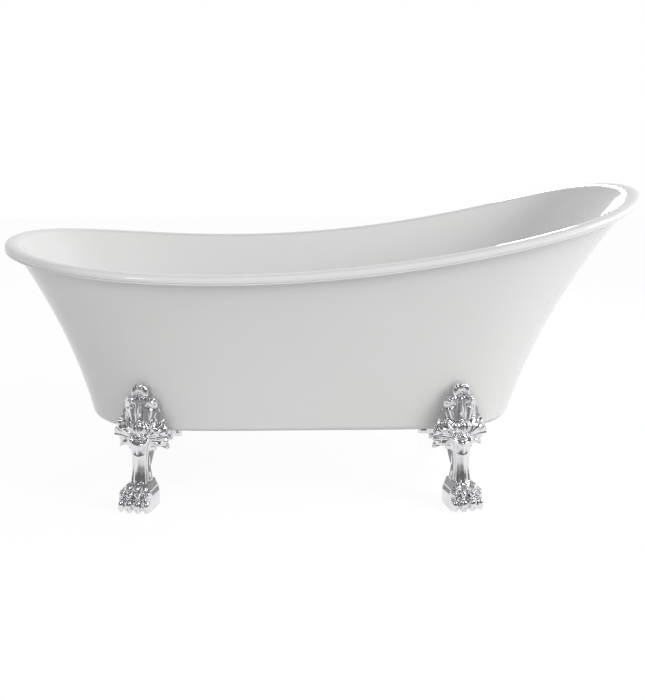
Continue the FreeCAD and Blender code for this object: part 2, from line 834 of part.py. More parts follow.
def make_face_plate():
    back = bowl_rise()
    out = overflow_frame()[1]
    plate = along(face_plate_radius, back, back + face_plate_thickness)
    dome = along(face_plate_radius - 7, back, back + face_plate_thickness + 3)
    plate = plate.fuse(dome)
    point = overflow_frame()[0]
    down = vec(out.z, 0, -out.x)
    mouth = Part.makeBox(16, 34, 30, vec(0, -17, 0))
    mouth.rotate(vec(0, 0, 0), vec(0, 1, 0), math.degrees(math.atan2(-out.z, out.x)))
    mouth.translate(point + down * (face_plate_radius - 13) + out * (back - 3))
    cuts = [mouth] + [Part.makeCylinder(overflow_screw_radius + thread_gap, 30, spot, out)
                      for spot in screw_axis_points()]
    return plate.cut(cuts)


def overflow_back():
    return -(basin_wall + film + basin_glass + loose_gap)


def make_overflow_body():
    front = overflow_back() - overflow_gasket_thickness
    back = front - overflow_body_depth
    shape = along(overflow_body_radius, back, front)
    shape = shape.cut(along(overflow_body_radius - 8, back + 4, front + 1))
    out = overflow_frame()[1]
    lugs = [Part.makeCylinder(5, overflow_body_depth - 2, spot + out * (back + 2), out)
            for spot in screw_axis_points()]
    end, way = hose_top(), hose_way()
    stem_length = spigot_length + 14
    stem = Part.makeCylinder(hose_bore_radius - thread_gap, stem_length, end + way * (stem_length - 14), way * -1)
    stem = stem.cut(along(overflow_body_radius * 3, front, front + 60))
    shape = shape.multiFuse(lugs + [stem])
    bore = Part.makeCylinder(spigot_bore_radius, stem_length + 6, end + way * (stem_length - 20), way * -1)
    cuts = [bore] + [Part.makeCylinder(overflow_screw_radius, 60, spot + out * (back + 8), out)
                     for spot in screw_axis_points()]
    return single(shape.cut(cuts))


def make_overflow_gasket():
    front = overflow_back()
    ring = along(overflow_body_radius, front - overflow_gasket_thickness, front)
    return ring.cut(along(overflow_body_radius - 8, front - 10, front + 1))


def make_overflow_screws():
    point, out = overflow_frame()
    head = bowl_rise() + face_plate_thickness + 3
    tail = overflow_back() - overflow_gasket_thickness - 8
    screws = []
    for spot in screw_axis_points():
        shank = Part.makeCylinder(overflow_screw_radius, head - tail, spot + out * tail, out)
        cap = Part.makeCylinder(4.5, 2.4, spot + out * head, out)
        screws.append(shank.fuse(cap).removeSplitter())
    return Part.Compound(screws)


def hose_target():
    point, out = overflow_frame()
    return point + out * (overflow_back() - overflow_gasket_thickness - overflow_body_depth / 2)


def hose_way():
    """Direction of the hose's upper run, from the overflow down to the turn."""
    return (vec(hose_turn_x, 0, hose_height) - hose_target()).normalize()


def hose_top():
    return hose_target() + hose_way() * (overflow_body_radius + 4)


def hose_path():
    start = vec(drain_x - waste_barrel_radius - 1, 0, hose_height)
    corner = vec(hose_turn_x, 0, hose_height)
    level, rise = vec(-1, 0, 0), hose_way() * -1
    turn = level.getAngle(rise)
    cut_back = hose_bend_radius * math.tan(turn / 2)
    first, last = corner - level * cut_back, corner + rise * cut_back
    middle = corner + (rise - level).normalize() * hose_bend_radius * (1 / math.cos(turn / 2) - 1)
    edges = [Part.LineSegment(start, first).toShape(), Part.Arc(first, middle, last).toShape(),
             Part.LineSegment(last, hose_top()).toShape()]
    return Part.Wire(edges), start


def hose_solid(radius):
    path, start = hose_path()
    profile = Part.Wire([Part.makeCircle(radius, start, vec(-1, 0, 0))])
    return path.makePipeShell([profile], True, True)


def make_clamps():
    places = [(vec(drain_x - waste_barrel_radius - 8, 0, hose_height), vec(-1, 0, 0)),
              (hose_top() + hose_way() * 6, hose_way())]
    bands = []
    for start, way in places:
        inner = hose_radius + thread_gap
        ring = Part.makeCylinder(inner + clamp_thickness, clamp_width, start, way)
        box = Part.makeBox(10, 9, clamp_width, vec(-5, inner - 1, 0))
        box.Placement = FreeCAD.Placement(start, FreeCAD.Rotation(vec(0, 0, 1), way)).multiply(box.Placement)
        bore = Part.makeCylinder(inner, clamp_width + 2, start - way, way)
        bands.append(single(ring.fuse(box).cut(bore)))
    return Part.Compound(bands)


# ---- Write every piece

def write_tub():
    skirt = make_skirt()
    save(make_basin(), "inner_shell")
    save(make_basin_glass(), "basin_laminate")
    save(skirt, "outer_skirt")
    save(make_skirt_glass(), "skirt_laminate")
    save(make_board(), "base_board")
    return skirt


def write_feet(skirt):
    foot = make_foot()
    pad, stud = leveller()
    names = ("near_low", "near_high", "far_low", "far_high")
    for name, place in zip(names, foot_places()):
        save(placed(foot, place), "claw_foot_" + name)
        save(placed(pad, place), "leveller_pad_" + name)
        save(placed(stud, place), "leveller_stud_" + name)
    studs, washers, nuts = foot_fasteners()
    save(at_feet(studs), "foot_studs")
    save(at_feet(washers), "foot_washers")
    save(at_feet(nuts), "foot_nuts")
    save(at_feet(stud_plate_blank()), "stud_plates")
    save(at_feet(shelf_gasket_blank()), "foot_gaskets")
    save(Part.Compound([crest_bumper(skirt, place) for place in foot_places()]), "crest_bumpers")


def write_waste():
    seat = drain_seat()
    cap, seal, sleeve, cap_low = make_stopper()
    nut, tail_washer = make_tail_nut()
    save(make_drain_flange(), "drain_flange")
    save(tube(drain_flange_radius - 1, drain_body_radius + loose_gap, floor_height, seat, drain_x),
         "drain_gasket")
    save(tube(waste_flange_radius - 1, drain_body_radius + loose_gap, glass_height - drain_washer_thickness,
              glass_height, drain_x), "drain_washer")
    save(make_waste_body(), "waste_body")
    save(make_post(), "stopper_post")
    save(make_spring(cap_low), "stopper_spring")
    save(cap, "stopper_cap")
    save(seal, "stopper_seal")
    save(sleeve, "stopper_sleeve")
    save(make_tail(), "tailpiece")
    save(nut, "tailpiece_nut")
    save(tail_washer, "tailpiece_washer")


def write_overflow():
    save(make_face_plate(), "overflow_face_plate")
    save(make_overflow_screws(), "overflow_screws")
    save(make_overflow_gasket(), "overflow_gasket")
    save(make_overflow_body(), "overflow_body")
    save(hose_solid(hose_radius).cut(hose_solid(hose_bore_radius)), "overflow_hose")
    save(make_clamps(), "hose_clamps")


os.makedirs("parts", exist_ok=True)
write_feet(write_tub())
write_waste()
write_overflow()
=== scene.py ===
import bpy, bmesh, json, math
import numpy as np
from mathutils import Matrix, Vector


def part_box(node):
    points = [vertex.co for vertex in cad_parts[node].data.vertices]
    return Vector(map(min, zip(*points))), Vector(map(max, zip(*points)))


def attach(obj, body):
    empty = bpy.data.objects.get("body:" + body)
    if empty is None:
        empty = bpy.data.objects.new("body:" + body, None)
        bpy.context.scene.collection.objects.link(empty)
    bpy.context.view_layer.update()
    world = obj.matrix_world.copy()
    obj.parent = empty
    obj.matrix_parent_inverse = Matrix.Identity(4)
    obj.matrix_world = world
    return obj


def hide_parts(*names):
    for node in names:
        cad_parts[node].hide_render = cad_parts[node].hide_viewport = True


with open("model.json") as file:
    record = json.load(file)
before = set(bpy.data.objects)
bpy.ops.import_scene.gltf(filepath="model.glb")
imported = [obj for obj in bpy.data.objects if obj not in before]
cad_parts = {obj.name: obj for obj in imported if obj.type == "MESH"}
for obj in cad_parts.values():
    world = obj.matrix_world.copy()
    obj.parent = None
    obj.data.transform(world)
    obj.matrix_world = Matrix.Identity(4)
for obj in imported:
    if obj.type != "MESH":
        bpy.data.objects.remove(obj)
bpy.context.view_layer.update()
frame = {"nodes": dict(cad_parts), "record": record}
print("frame loaded")


# a socket with plain arithmetic: each operator adds one Math node
class Sig:
    def __init__(self, tree, socket):
        self.tree, self.socket = tree, socket

    def op(self, name, *values):
        return self.tree.add("ShaderNodeMath", {"operation": name}, *values)

    def __add__(self, other):
        return self.op("ADD", self, other)

    def __radd__(self, other):
        return self.op("ADD", other, self)

    def __sub__(self, other):
        return self.op("SUBTRACT", self, other)

    def __rsub__(self, other):
        return self.op("SUBTRACT", other, self)

    def __mul__(self, other):
        return self.op("MULTIPLY", self, other)

    def __rmul__(self, other):
        return self.op("MULTIPLY", other, self)


class Finish:
    def __init__(self, name):
        self.material = bpy.data.materials.new(name)
        self.material.use_nodes = True
        self.nodes = self.material.node_tree.nodes
        self.links = self.material.node_tree.links
        self.shader = self.nodes["Principled BSDF"]
        self.output = self.nodes["Material Output"]

    def put(self, socket, value):
        if isinstance(value, Sig):
            value = value.socket
        if isinstance(value, bpy.types.NodeSocket):
            self.links.new(value, socket)
        else:
            socket.default_value = value

    # one node of any type: its settings first, then the values or links of its sockets
    def add(self, kind, settings=None, *values, out=0, **named):
        node = self.nodes.new(kind)
        for key, value in (settings or {}).items():
            setattr(node, key, value)
        for socket, value in zip(node.inputs, values):
            self.put(socket, value)
        for key, value in named.items():
            self.put(node.inputs[key], value)
        return Sig(self, node.outputs[out])

    def op(self, name, *values):
        return self.add("ShaderNodeMath", {"operation": name}, *values)

    def place(self, scale=(1, 1, 1)):
        return self.add("ShaderNodeMapping", None, self.add("ShaderNodeTexCoord", out="Object"), Scale=scale)

    def noise(self, scale, detail=3.0, rough=0.5, stretch=(1, 1, 1)):
        return self.add("ShaderNodeTexNoise", None, Vector=self.place(stretch), Scale=scale, Detail=detail,
                        Roughness=rough)

    def ramp(self, value, low, high):
        return self.add("ShaderNodeMapRange", {"interpolation_type": "SMOOTHSTEP"}, value, low, high, 0.0, 1.0)

    def mix(self, share, first, second):
        node = self.nodes.new("ShaderNodeMix")
        node.data_type = "RGBA"
        self.put(node.inputs[0], share)
        self.put(node.inputs[6], first)
        self.put(node.inputs[7], second)
        return Sig(self, node.outputs[2])

    def bump(self, height, strength, distance):
        return self.add("ShaderNodeBump", None, Height=height, Strength=strength, Distance=distance)

    def set(self, **named):
        for key, value in named.items():
            self.put(self.shader.inputs[key.replace("_", " ")], value)
        return self.material


def rgb(red, green, blue):
    return (red, green, blue, 1.0)


acrylicLook = {"clean": rgb(0.80, 0.80, 0.797), "warm": rgb(0.782, 0.78, 0.768), "gloss": 0.07}


def whiteAcrylic():
    f = Finish("whiteAcrylic")
    tone = f.ramp(f.noise(2.2, 4.0), 0.35, 0.75)
    haze = f.ramp(f.noise(7.0, 5.0, 0.6, (1, 1, 0.3)), 0.45, 0.8)
    scuff = f.ramp(f.noise(60.0, 4.0, 0.7, (1, 6, 1)), 0.62, 0.75)
    return f.set(Base_Color=f.mix(tone, acrylicLook["clean"], acrylicLook["warm"]),
                 Roughness=acrylicLook["gloss"] + 0.06 * haze + 0.10 * scuff,
                 Normal=f.bump(f.noise(9.0, 2.0), 0.08, 0.002), IOR=1.49)


chromeLook = {"plate": rgb(0.78, 0.78, 0.80), "dull": rgb(0.50, 0.50, 0.52)}


def polishedChrome():
    f = Finish("polishedChrome")
    cloud = f.ramp(f.noise(28.0, 4.0), 0.4, 0.75)
    speck = f.ramp(f.noise(420.0, 3.0), 0.60, 0.72)
    return f.set(Metallic=1.0, Base_Color=f.mix(cloud * 0.35, chromeLook["plate"], chromeLook["dull"]),
                 Roughness=0.05 + 0.06 * cloud + 0.10 * speck,
                 Normal=f.bump(f.noise(85.0, 2.0), 0.06, 0.0006))


def glassFibre():
    f = Finish("glassFibre")
    strand = f.ramp(f.noise(55.0, 6.0, 0.7, (1, 5, 1)), 0.42, 0.62)
    cross = f.ramp(f.noise(55.0, 6.0, 0.7, (5, 1, 1)), 0.42, 0.62)
    pool = f.ramp(f.noise(6.0, 3.0), 0.4, 0.7)
    resin = f.mix(pool, rgb(0.62, 0.58, 0.44), rgb(0.72, 0.69, 0.56))
    return f.set(Base_Color=f.mix(strand * cross, resin, rgb(0.84, 0.83, 0.76)),
                 Roughness=0.38 + 0.3 * strand, Normal=f.bump(strand + cross, 0.5, 0.001))


def birchPlywood():
    f = Finish("birchPlywood")
    layers = f.add("ShaderNodeTexWave", {"wave_type": "BANDS", "bands_direction": "Z"}, f.place(), Scale=45.0)
    ply = f.ramp(layers, 0.3, 0.6)
    grain = f.ramp(f.noise(26.0, 6.0, 0.65, (0.12, 1, 1)), 0.35, 0.7)
    face = f.mix(grain, rgb(0.66, 0.49, 0.31), rgb(0.48, 0.32, 0.18))
    return f.set(Base_Color=f.mix(ply * 0.45, face, rgb(0.34, 0.21, 0.11)), Roughness=0.55 + 0.2 * grain,
                 Normal=f.bump(grain, 0.25, 0.0006))


def steelFinish(name, bright, dull, brush, rough):
    f = Finish(name)
    line = f.ramp(f.noise(240.0, 4.0, 0.6, brush), 0.3, 0.7)
    bloom = f.ramp(f.noise(45.0, 4.0), 0.45, 0.7)
    return f.set(Metallic=1.0, Base_Color=f.mix(bloom, bright, dull),
                 Roughness=rough + 0.12 * line + 0.1 * bloom, Normal=f.bump(line, 0.15, 0.0002))


def blackRubber():
    f = Finish("blackRubber")
    dust = f.ramp(f.noise(90.0, 5.0, 0.7), 0.5, 0.75)
    return f.set(Base_Color=f.mix(dust, rgb(0.022, 0.022, 0.023), rgb(0.075, 0.073, 0.07)),
                 Roughness=0.55 + 0.25 * dust, Normal=f.bump(f.noise(600.0, 2.0), 0.3, 0.0002))


def plasticFinish(name, clean, worn, rough, grain):
    f = Finish(name)
    wear = f.ramp(f.noise(35.0, 5.0, 0.65), 0.45, 0.75)
    return f.set(Base_Color=f.mix(wear, clean, worn), Roughness=rough + 0.15 * wear,
                 Normal=f.bump(f.noise(grain, 2.0), 0.2, 0.0003))


finishes = {
    "white_acrylic": whiteAcrylic(),
    "polished_chrome": polishedChrome(),
    "glass_fibre": glassFibre(),
    "plywood": birchPlywood(),
    "black_rubber": blackRubber(),
    "zinc_steel": steelFinish("zincSteel", rgb(0.62, 0.63, 0.65), rgb(0.44, 0.45, 0.48), (1, 1, 8), 0.3),
    "spring_steel": steelFinish("springSteel", rgb(0.60, 0.60, 0.61), rgb(0.4, 0.4, 0.41), (1, 1, 1), 0.22),
    "grey_nylon": plasticFinish("greyNylon", rgb(0.16, 0.165, 0.17), rgb(0.24, 0.24, 0.245), 0.45, 500.0),
    "white_pipe": plasticFinish("whitePipe", rgb(0.78, 0.78, 0.77), rgb(0.66, 0.65, 0.62), 0.25, 140.0),
    "grey_pipe": plasticFinish("greyPipe", rgb(0.30, 0.31, 0.32), rgb(0.42, 0.42, 0.42), 0.4, 220.0),
}
for row in frame["record"]["subparts"]:
    data = frame["nodes"][row["node"]].data
    data.materials.clear()
    data.materials.append(finishes[row["material_slot"]])
print("finishes made")


def newPiece(name, bm, slotName, body="root"):
    bmesh.ops.recalc_face_normals(bm, faces=bm.faces)
    mesh = bpy.data.meshes.new(name)
    bm.to_mesh(mesh)
    bm.free()
    mesh.shade_smooth()
    mesh.materials.append(finishes[slotName])
    piece = bpy.data.objects.new(name, mesh)
    bpy.context.scene.collection.objects.link(piece)
    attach(piece, body)
    return piece


# the whole tub, in metres and degrees; its outline is squarer at the high end, and the rim is a parabola
tub = {"halfLength": 0.8499, "halfWidth": 0.40, "lowPower": 5.4, "highPower": 7.0, "rimHigh": 0.788,
       "rimLowest": 0.602, "rimLowestX": -0.265, "rollHalf": 0.022, "rollHeight": 0.012, "rollMeets": 70.0,
       "rollStep": 8, "lipDrop": 0.019, "film": 0.0003, "wall": 0.004, "bow": 0.43, "lean": 22.0,
       "cornerEnd": 75, "cornerStep": 5, "floorShares": (0, 0.04, 0.12, 0.3, 0.6, 0.85), "around": 240,
       "wallSteps": 30, "edgeRadius": 0.0012, "sharpAngle": 40}
basinWall = {"low": -0.530, "high": 0.410, "half": 0.190, "floor": 0.2117, "corner": 0.080, "hole": 0.025}
skirtWall = {"low": -0.623, "high": 0.507, "half": 0.255, "floor": 0.178, "corner": 0.020, "hole": 0.042,
             "inset": 0.027, "drop": 0.0233}
drainX = -0.415


def rimAt(x):
    share = (x - tub["rimLowestX"]) / (tub["halfLength"] - tub["rimLowestX"])
    return tub["rimLowest"] + (tub["rimHigh"] - tub["rimLowest"]) * share ** 2


def outlineAt(turn, low, high, reach):
    c = math.cos(turn)
    side = math.sqrt(max(0.0, 1 - abs(c) ** (tub["lowPower"] if c < 0 else tub["highPower"])))
    return (low + high) / 2 + (high - low) / 2 * c, math.copysign(reach * side, math.sin(turn))


def turns():
    return [2 * math.pi * i / tub["around"] for i in range(tub["around"])]


# a loop along the rim, inset from its outline and dropped below its top
def rimRing(inset, drop):
    ring = []
    for turn in turns():
        x, y = outlineAt(turn, inset - tub["halfLength"], tub["halfLength"] - inset, tub["halfWidth"] - inset)
        ring.append(Vector((x, y, rimAt(x) - drop)))
    return ring


# a loop round a wall, from its floor at 0 to the rim at 1
def wallRing(wall, up, inset=0.0):
    share = (1 - tub["bow"]) * up + tub["bow"] * up ** 2
    rim = wall["inset"] + inset
    ring = []
    for turn in turns():
        x0, y0 = outlineAt(turn, wall["low"] + inset, wall["high"] - inset, wall["half"] - inset)
        x1, y1 = outlineAt(turn, rim - tub["halfLength"], tub["halfLength"] - rim, tub["halfWidth"] - rim)
        z = (1 - up) * wall["floor"] + up * (rimAt(x1) - wall["drop"])
        ring.append(Vector(((1 - share) * x0 + share * x1, (1 - share) * y0 + share * y1, z)))
    return ring


# floor from the drain hole outwards, bottom corner and wall
def wallRings(wall):
    lean = math.radians(tub["lean"])
    rise = tub["rimLowest"] - wall["floor"]
    rings = []
    for degrees in range(0, tub["cornerEnd"] + 1, tub["cornerStep"]):
        turn = math.radians(degrees)
        inset = wall["corner"] * (1 / math.cos(lean) - math.sin(turn) - math.cos(turn) * math.tan(lean))
        rings.append(wallRing(wall, wall["corner"] * (1 - math.cos(turn)) / rise, inset))
    reach = wall["hole"]
    hole = [Vector((drainX + reach * math.cos(t), reach * math.sin(t), wall["floor"])) for t in turns()]
    flat = [[h.lerp(c, s) for h, c in zip(hole, rings[0])] for s in tub["floorShares"]]
    start = wall["corner"] * (1 - math.cos(math.radians(tub["cornerEnd"]))) / rise
    steps = tub["wallSteps"]
    return flat + rings + [wallRing(wall, start + (1 - start) * (i + 1) / steps) for i in range(steps)]


# the same wall's other face, further in by depth
def backOf(wall, depth):
    return dict(wall, low=wall["low"] + depth, high=wall["high"] - depth, half=wall["half"] - depth,
                floor=wall["floor"] + depth, inset=wall["inset"] + depth, corner=wall["corner"] - depth)


# the rolled rim from where it meets the wall, over its top to the outer edge
def rollRings(thickness):
    rings = []
    for degrees in range(int(tub["rollMeets"]) - tub["rollStep"], -91, -tub["rollStep"]):
        turn = math.radians(degrees)
        inset = tub["rollHalf"] + (tub["rollHalf"] - thickness) * math.sin(turn)
        rings.append(rimRing(inset, tub["rollHeight"] - (tub["rollHeight"] - thickness) * math.cos(turn)))
    return rings


# one closed skin: every ring is extruded from the one before, and the last one meets the first
def skinOf(rings):
    bm = bmesh.new()
    row = bmesh.ops.create_circle(bm, segments=tub["around"], radius=1.0)["verts"]
    edges = list(bm.edges)
    for vert, spot in zip(row, rings[0]):
        vert.co = spot
    for ring in rings[1:]:
        grown = bmesh.ops.extrude_edge_only(bm, edges=edges)["geom"]
        fresh = {v for v in grown if isinstance(v, bmesh.types.BMVert)}
        row = [next(e.other_vert(v) for e in v.link_edges if e.other_vert(v) in fresh) for v in row]
        edges = [e for e in grown if isinstance(e, bmesh.types.BMEdge) and set(e.verts) <= fresh]
        for vert, spot in zip(row, ring):
            vert.co = spot
    bmesh.ops.remove_doubles(bm, verts=bm.verts, dist=1e-6)
    return bm


# what the cutters overlap is taken out of a piece, and the cutters are thrown away
def cutAway(piece, cutters):
    mesh = bpy.data.meshes.new("cutter")
    cutters.to_mesh(mesh)
    cutters.free()
    tool = bpy.data.objects.new("cutter", mesh)
    bpy.context.scene.collection.objects.link(tool)
    cut = piece.modifiers.new("cut", "BOOLEAN")
    cut.operation, cut.solver, cut.object = "DIFFERENCE", "EXACT", tool
    finished = bpy.data.meshes.new_from_object(piece.evaluated_get(bpy.context.evaluated_depsgraph_get()))
    piece.modifiers.clear()
    old, piece.data = piece.data, finished
    finished.name = piece.name
    bpy.data.meshes.remove(old)
    bpy.data.objects.remove(tool)
    bpy.data.meshes.remove(mesh)


def addRod(bm, radius, start, end):
    way = Vector(end) - Vector(start)
    place = Matrix.LocRotScale((Vector(start) + Vector(end)) / 2, way.to_track_quat("Z", "Y"), None)
    bmesh.ops.create_cone(bm, cap_ends=True, segments=64, radius1=radius, radius2=radius, depth=way.length,
                          matrix=place)


def sharpen(piece):
    piece.data.shade_smooth()
    piece.data.set_sharp_from_angle(angle=math.radians(tub["sharpAngle"]))


overflowHole = {"radius": 0.025, "plate": 0.006, "inwards": 0.03, "outwards": 0.012}


def makeBasin():
    meet = math.radians(tub["rollMeets"])
    wall = dict(basinWall, inset=tub["rollHalf"] * (1 + math.sin(meet)),
                drop=tub["rollHeight"] * (1 - math.cos(meet)))
    edge, lip, thick = tub["edgeRadius"], tub["lipDrop"], tub["wall"]
    rings = wallRings(wall) + rollRings(0.0)
    rings += [rimRing(0.0, lip - edge), rimRing(0.3 * edge, lip - 0.3 * edge), rimRing(edge, lip),
              rimRing(thick, lip)]
    back = backOf(wall, -thick)
    rings += rollRings(thick)[::-1] + wallRings(back)[::-1]
    rings.append(rings[0])
    basin = newPiece("tubBasin", skinOf(rings), "white_acrylic")
    low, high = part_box("overflow_face_plate")
    middle = (low + high) / 2
    lean = math.atan2(high.x - low.x - overflowHole["plate"], high.z - low.z)
    way = Vector((math.cos(lean), 0, math.sin(lean)))
    cutter = bmesh.new()
    addRod(cutter, overflowHole["radius"], middle - way * overflowHole["inwards"],
           middle + way * overflowHole["outwards"])
    cutAway(basin, cutter)
    sharpen(basin)
    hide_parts("inner_shell")


# two studs hold each foot; the slot lets the overflow hose through
skirtHoles = {"across": 0.022, "back": 0.113, "radius": 0.0055, "under": 0.17, "over": 0.19,
              "slot": (-0.5635, 0, 0.18), "slotSize": (0.067, 0.046, 0.02)}


def studSpots():
    back = skirtHoles["back"]
    spots = []
    for name in footNames:
        x, y, turn = footPlace(name)
        for across in (-skirtHoles["across"], skirtHoles["across"]):
            spots.append((x + across * math.cos(turn) - back * math.sin(turn),
                          y + across * math.sin(turn) + back * math.cos(turn)))
    return spots


def makeSkirt():
    thick, edge = tub["wall"], tub["edgeRadius"]
    top = tub["lipDrop"] + tub["film"]
    back = backOf(skirtWall, thick)
    rings = wallRings(skirtWall)
    rings += [rimRing(edge, skirtWall["drop"]), rimRing(0.0, skirtWall["drop"] - edge),
              rimRing(0.0, top + edge), rimRing(edge, top), rimRing(back["inset"], top)]
    rings += wallRings(dict(back, corner=skirtWall["corner"] - thick))[:-1][::-1]
    rings.append(rings[0])
    skirt = newPiece("tubSkirt", skinOf(rings), "white_acrylic")
    cutter = bmesh.new()
    for x, y in studSpots():
        addRod(cutter, skirtHoles["radius"], (x, y, skirtHoles["under"]), (x, y, skirtHoles["over"]))
    slot = Matrix.LocRotScale(Vector(skirtHoles["slot"]), None, Vector(skirtHoles["slotSize"]))
    bmesh.ops.create_cube(cutter, size=1.0, matrix=slot)
    cutAway(skirt, cutter)
    sharpen(skirt)
    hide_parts("outer_skirt")


footNames = ("near_low", "near_high", "far_low", "far_high")
# voxel in metres, everything else in millimetres and degrees
foot = {"splay": 13.0, "voxel": 0.0015, "smooth": 2, "smoothShare": 0.5, "softPasses": 2, "soften": 0.4,
        "sole": 1.2, "crestBack": 26.7, "wallStart": 176.0}


# each foot stands about its levelling axis: x, y and turn in radians
def footPlace(name):
    low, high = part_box("leveller_pad_" + name)
    x, y = (low.x + high.x) / 2, (low.y + high.y) / 2
    turn = math.copysign(math.radians(foot["splay"]), x)
    return (x, y, turn) if y < 0 else (x, y, math.pi - turn)


def footMatrix(name):
    x, y, turn = footPlace(name)
    return Matrix.Translation((x, y, 0)) @ Matrix.Rotation(turn, 4, "Z")


# lobes: middle, half sizes, lean outwards from upright; each one off the middle has a mirrored twin
crestLobes = [
    ((0, 12, 301), (7, 9, 12), 0), ((14, 13, 294), (8, 9, 17), -12), ((29.5, 14, 266), (12, 10, 12.5), 0),
    ((0, 1, 198), (9, 9, 20), 0), ((12.5, 4, 198), (8, 8, 17), 18), ((20, 8, 188), (7, 8, 12), 30),
]
# leaves: root, tip, width and thickness
crestLeaves = [
    ((14, 12, 178), (41, 24, 243), 15, 13), ((15, 12, 178), (61, 24, 222), 16, 13),
    ((16, 12, 176), (69, 25, 203), 16, 13), ((18, 12, 174), (76, 32, 182), 16, 14),
    ((18, 12, 170), (67, 38, 163), 15, 14), ((16, 12, 166), (57, 38, 149), 14, 13),
    ((12, 8, 160), (36, 32, 140), 12, 12), ((10, 0, 171), (39, 12, 222), 11, 12),
]
pawLobes = [
    ((11.5, -38, 17), (11.2, 14, 19), 0), ((33, -33, 16), (9.8, 14, 18), 0),
    ((11.5, -33, 43), (10.5, 12, 9.5), 0), ((32, -28, 42), (9.5, 12, 9), 0),
    ((0, -24, 54), (9, 10, 7), 0), ((21, -22, 54), (8.5, 10, 7), 0),
]


def millimetres(x, y, z, side=1):
    return Vector((side * x, y, z)) / 1000


def addLobe(bm, middle, size, lean, side):
    place = Matrix.LocRotScale(millimetres(*middle, side), Matrix.Rotation(math.radians(side * lean), 3, "Y"),
                               millimetres(*size))
    bmesh.ops.create_uvsphere(bm, u_segments=24, v_segments=16, radius=1.0, matrix=place)


def addLeaf(bm, root, tip, width, thickness, side):
    start, end = millimetres(*root, side), millimetres(*tip, side)
    size = millimetres(width / 2, thickness / 2, (end - start).length * 500)
    place = Matrix.LocRotScale((start + end) / 2, (end - start).to_track_quat("Z", "Y"), size)
    bmesh.ops.create_uvsphere(bm, u_segments=24, v_segments=24, radius=1.0, matrix=place)


# one watertight skin round everything in the bmesh
def remeshed(bm, voxel):
    mesh = bpy.data.meshes.new("casting")
    bm.to_mesh(mesh)
    bm.free()
    thing = bpy.data.objects.new("casting", mesh)
    bpy.context.scene.collection.objects.link(thing)
    thing.modifiers.new("remesh", "REMESH").mode = "VOXEL"
    thing.modifiers["remesh"].voxel_size = voxel
    soft = thing.modifiers.new("smooth", "SMOOTH")
    soft.factor, soft.iterations = foot["smoothShare"], foot["smooth"]
    done = bpy.data.meshes.new_from_object(thing.evaluated_get(bpy.context.evaluated_depsgraph_get()))
    bpy.data.objects.remove(thing)
    bpy.data.meshes.remove(mesh)
    return done


# grooves (positive depth) and ridges (negative) drawn on the front: points in x and z, width, depth
toeStrokes = [
    ([(0, 2), (0, 49)], 2.8, 3.6), ([(22.5, 2), (22, 48)], 2.8, 3.4),
    ([(0, 32.5), (14, 33.5), (42, 32)], 2.2, 2.4), ([(0, 60), (10, 56), (21, 59), (34, 53)], 2.2, 1.8),
    ([(6, 9), (11.5, 15), (17, 9)], 2.0, 1.8), ([(28, 9), (33, 14), (38, 9)], 2.0, 1.6),
    ([(11.5, 4), (11.5, 12)], 2.4, -1.6), ([(33, 4), (33, 11)], 2.4, -1.4),
    ([(7, 43), (11, 46), (16, 43)], 1.6, 1.2), ([(28, 42), (32, 45), (36, 42)], 1.6, 1.2),
]
legStrokes = [
    ([(8, 66), (12, 61), (18, 64)], 1.8, 1.3), ([(4.5, 66), (4, 128)], 2.2, 0.5),
    ([(13, 68), (11.5, 128)], 2.4, 1.2), ([(0, 66), (0, 130)], 2.4, -0.4), ([(0, 131), (13, 134)], 2.4, -0.8),
]
collarStrokes = [
    ([(0, 160), (13, 163), (25, 171)], 2.6, -2.4), ([(0, 168), (14, 171), (27, 180)], 3.6, 4.2),
    ([(0, 176), (14, 180), (26, 189)], 2.4, -2.2), ([(7, 182), (7.5, 214)], 2.0, 2.6),
    ([(15, 184), (18, 210)], 2.0, 2.4),
]
crestStrokes = [
    ([(5.5, 214), (5.0, 276)], 2.0, 2.6), ([(11, 214), (12, 270)], 2.4, -1.2),
    ([(17, 210), (19, 252)], 2.2, 2.4), ([(24, 208), (26, 250)], 2.2, -1.0), ([(0, 236), (0, 277)], 2.4, -1.8),
]
leafStrokes = [
    ([(18, 180), (31, 206), (40, 238)], 2.0, 2.2), ([(22, 182), (44, 200), (58, 217)], 2.0, 2.2),
    ([(24, 178), (50, 190), (67, 200)], 2.0, 2.2), ([(26, 174), (52, 179), (74, 182)], 2.0, 2.2),
    ([(26, 169), (50, 165), (66, 164)], 2.0, 2.0), ([(24, 163), (42, 154), (56, 150)], 2.0, 2.0),
    ([(12, 172), (27, 198), (37, 218)], 1.8, 2.0),
]
finialStrokes = [([(7.2, 284), (7, 306)], 1.8, 2.6), ([(14, 284), (13, 306)], 1.8, 1.0)]
earStrokes = [
    ([(22, 263), (25, 270), (31, 273), (37, 269), (38, 262), (33, 257), (28, 260), (28, 265)], 1.8, 2.4),
]
strokes = toeStrokes + legStrokes + collarStrokes + crestStrokes + leafStrokes + finialStrokes + earStrokes
# dents: middle in x and z, half sizes, depth
dents = [
    ((6.4, 147), (4.2, 11.0), 2.2), ((12, 281), (4.0, 6.5), 6.5), ((0, 276), (2.6, 5), 2.5),
    ((0, 224), (3.4, 12), 3.5), ((20, 254), (5, 4), 4.0), ((30, 249), (6, 3), 3.5),
]
# the carving fades out where the surface turns away from the front
carved = {"gain": 2.2, "start": 0.1, "behind": 44.0}
# long hollows in the sides of the leg
flank = {"from": 72.0, "to": 140.0, "fade": 12.0, "y": 22.0, "width": 7.0, "depth": 3.2, "gain": 1.6,
         "start": 0.5}
# the crest's outer parts lean back: where that starts, and over what distance it grows
crestLean = {"back": 8.0, "fromX": 16.0, "overX": 26.0, "fromZ": 196.0, "overZ": 16.0, "fade": 12.0}


